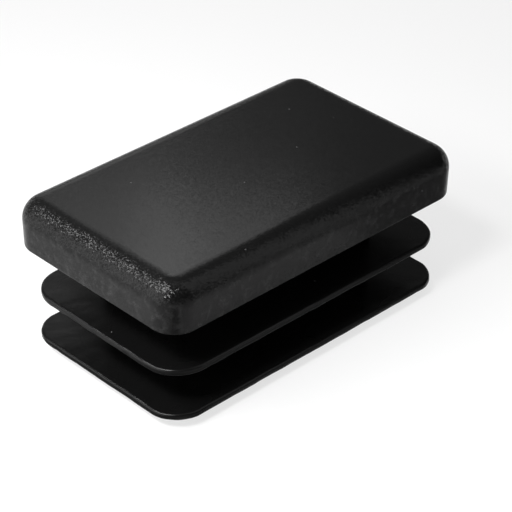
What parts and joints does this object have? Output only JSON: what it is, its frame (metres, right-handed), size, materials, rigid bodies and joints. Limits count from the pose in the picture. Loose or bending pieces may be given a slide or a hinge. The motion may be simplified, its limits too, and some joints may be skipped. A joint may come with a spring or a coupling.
{
  "type": "tube end cap",
  "caption": "Ribbed push-in end cap for a rectangular tube: flat head with rounded edges, hollow stem and thin bending fins.",
  "frame": {"origin": "centre of the shoulder, the plane where the tube's end meets the head", "axes": "+Z out of the tube, through the head; +X along the longer side of the tube's section; +Y along the shorter side"},
  "size_m": [0.05, 0.03, 0.022],
  "materials": {
    "polyethylene": "fine moulded grain on the head, smoother fins"
  },
  "bodies": {
    "root": {"end_cap": "polyethylene"}
  },
  "joints": []
}
